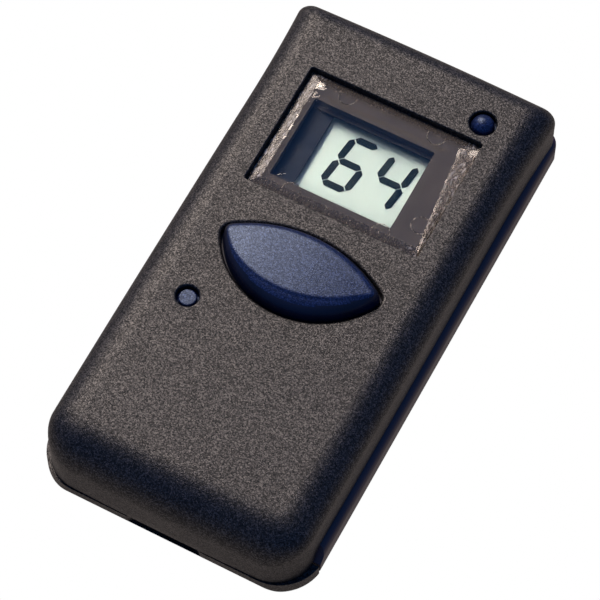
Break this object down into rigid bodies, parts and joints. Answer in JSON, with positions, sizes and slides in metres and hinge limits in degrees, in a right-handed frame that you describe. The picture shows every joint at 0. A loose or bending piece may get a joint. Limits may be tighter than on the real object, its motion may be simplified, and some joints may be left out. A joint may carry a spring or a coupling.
{
  "type": "pocket game timer",
  "caption": "Pocket timer in a flat rounded case, with a digit display under a clear window, a lens-shaped start button, small round buttons and a slide-off battery door.",
  "frame": {"origin": "middle of the flat rest face under the case", "axes": "+Z out of the display face, +Y along the case towards the display, +X to the right of the display as it is read"},
  "size_m": [0.0528, 0.1004, 0.02],
  "materials": {
    "shell": "fine spark-textured brown-grey",
    "back": "smooth satin plum-grey",
    "clear": "clear moulded acrylic",
    "mask": "dark grey card-smooth",
    "dark_plastic": "smooth black moulding",
    "polariser": "polarising film",
    "lcd_glass": "thin display glass",
    "seal": "cured edge seal",
    "bars": "dark display bars",
    "reflector": "pale green-grey reflector",
    "strip_rubber": "layered contact rubber",
    "board": "green solder mask",
    "epoxy": "black epoxy",
    "steel": "nickel-plated",
    "ceramic": "tan ceramic",
    "capacitor_sleeve": "shrunk sleeve",
    "brass": "rolled sheet",
    "piezo": "silvered ceramic",
    "wire_sleeve": "red insulation",
    "key": "fine-textured blue-violet satin",
    "dome_rubber": "translucent silicone",
    "cell_label": "plain wrapped sleeve"
  },
  "bodies": {
    "case": {"front_shell": "shell", "back_shell": "back", "window_lens": "clear", "display_mask": "mask", "display_frame": "dark_plastic", "lcd_polariser": "polariser", "lcd_front_glass": "lcd_glass", "lcd_seal": "seal", "lcd_bars": "bars", "lcd_rear_glass": "lcd_glass", "lcd_reflector": "reflector", "contact_strips": "strip_rubber", "circuit_board": "board", "chip_cap": "epoxy", "crystal": "steel", "ceramic_capacitors": "ceramic", "storage_capacitor": "capacitor_sleeve", "resistors": "epoxy", "piezo_disc": "brass", "piezo_ceramic": "piezo", "lead_wires": "wire_sleeve", "main_dome": "dome_rubber", "reset_dome": "dome_rubber", "mode_dome": "dome_rubber", "cell_cans": "steel", "cell_sleeves": "cell_label", "contact_plus": "steel", "contact_minus": "steel", "contact_bridge": "steel", "case_screws": "steel", "board_screws": "steel"},
    "main_key": {"main_button": "key"},
    "reset_key": {"reset_button": "key"},
    "mode_key": {"mode_button": "key"},
    "door": {"battery_door": "shell"}
  },
  "joints": [
    {"name": "main_press", "type": "slide", "parent": "case", "child": "main_key", "axis": [0, 0, -1], "range_m": [0, 0.0009], "stiffness_N_per_m": 450, "deforming": ["main_dome"]},
    {"name": "reset_press", "type": "slide", "parent": "case", "child": "reset_key", "axis": [0, 0, -1], "range_m": [0, 0.0006], "stiffness_N_per_m": 400, "deforming": ["reset_dome"]},
    {"name": "mode_press", "type": "slide", "parent": "case", "child": "mode_key", "axis": [0, 0, -1], "range_m": [0, 0.0008], "stiffness_N_per_m": 400, "deforming": ["mode_dome"]},
    {"name": "door_slide", "type": "slide", "parent": "case", "child": "door", "axis": [0, -1, 0], "range_m": [0, 0.034]}
  ]
}
